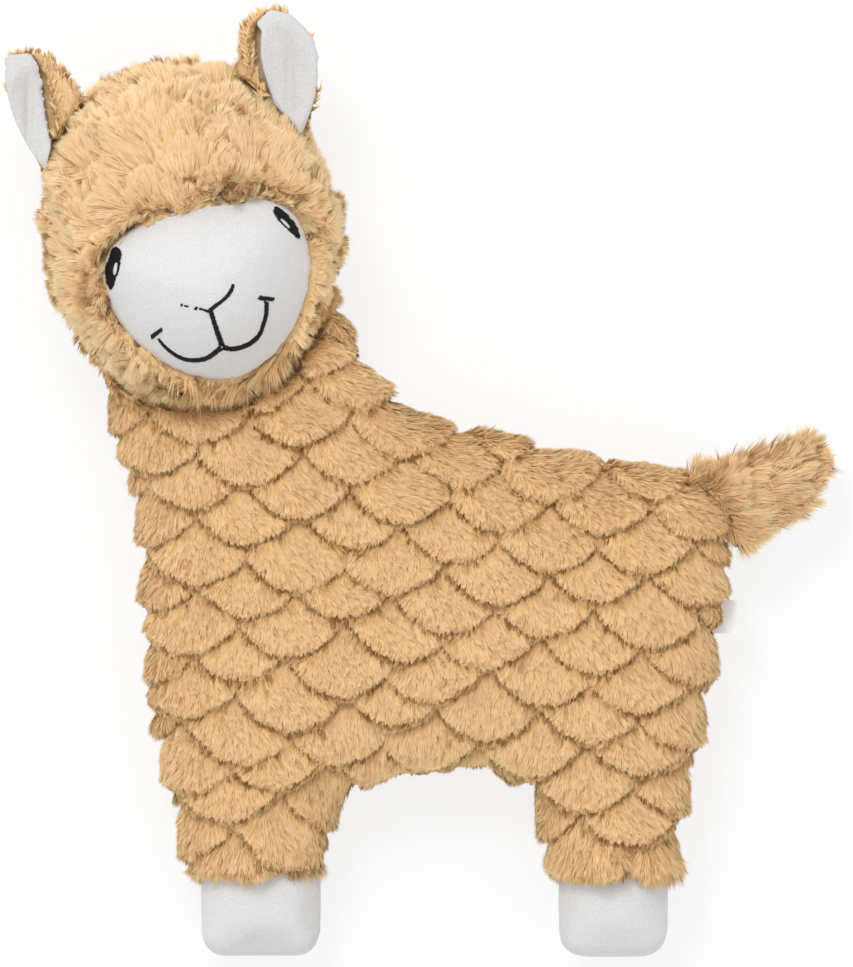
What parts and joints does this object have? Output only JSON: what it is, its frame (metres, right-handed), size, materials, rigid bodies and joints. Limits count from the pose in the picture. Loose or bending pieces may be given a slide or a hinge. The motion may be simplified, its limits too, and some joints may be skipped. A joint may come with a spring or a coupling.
{
  "type": "plush llama",
  "caption": "Flat stuffed plush llama with scale-embossed long-pile body, white face with stitched smile, two ears, two white feet and a short tail, lying on its side.",
  "frame": {"origin": "on the floor, under the middle of the toy's box as it lies on its far side", "axes": "+Z away from the floor, out of the side that shows; +Y from the feet to the ears; +X from the chest to the tail"},
  "size_m": [0.2786, 0.3198, 0.0896],
  "materials": {
    "scale_plush": "long pile, embossed scales",
    "curly_plush": "long pile in loose locks",
    "white_cloth": "short smooth pile",
    "black_thread": "satin stitch",
    "stuffing": "loose fibre",
    "label_cloth": "woven ribbon"
  },
  "bodies": {
    "root": {"body_near_panel": "scale_plush", "body_far_panel": "scale_plush", "body_filling": "stuffing", "head_front_panel": "curly_plush", "head_back_panel": "curly_plush", "face_panel": "white_cloth", "head_filling": "stuffing", "eye_left": "black_thread", "eye_right": "black_thread", "nose_embroidery": "black_thread", "mouth_embroidery": "black_thread", "ear_left_back": "curly_plush", "ear_left_lining": "white_cloth", "ear_right_back": "curly_plush", "ear_right_lining": "white_cloth", "tail_top_panel": "curly_plush", "tail_under_panel": "white_cloth", "foot_front_near_panel": "white_cloth", "foot_front_far_panel": "white_cloth", "foot_front_filling": "stuffing", "foot_rear_near_panel": "white_cloth", "foot_rear_far_panel": "white_cloth", "foot_rear_filling": "stuffing", "side_label": "label_cloth"}
  },
  "joints": []
}
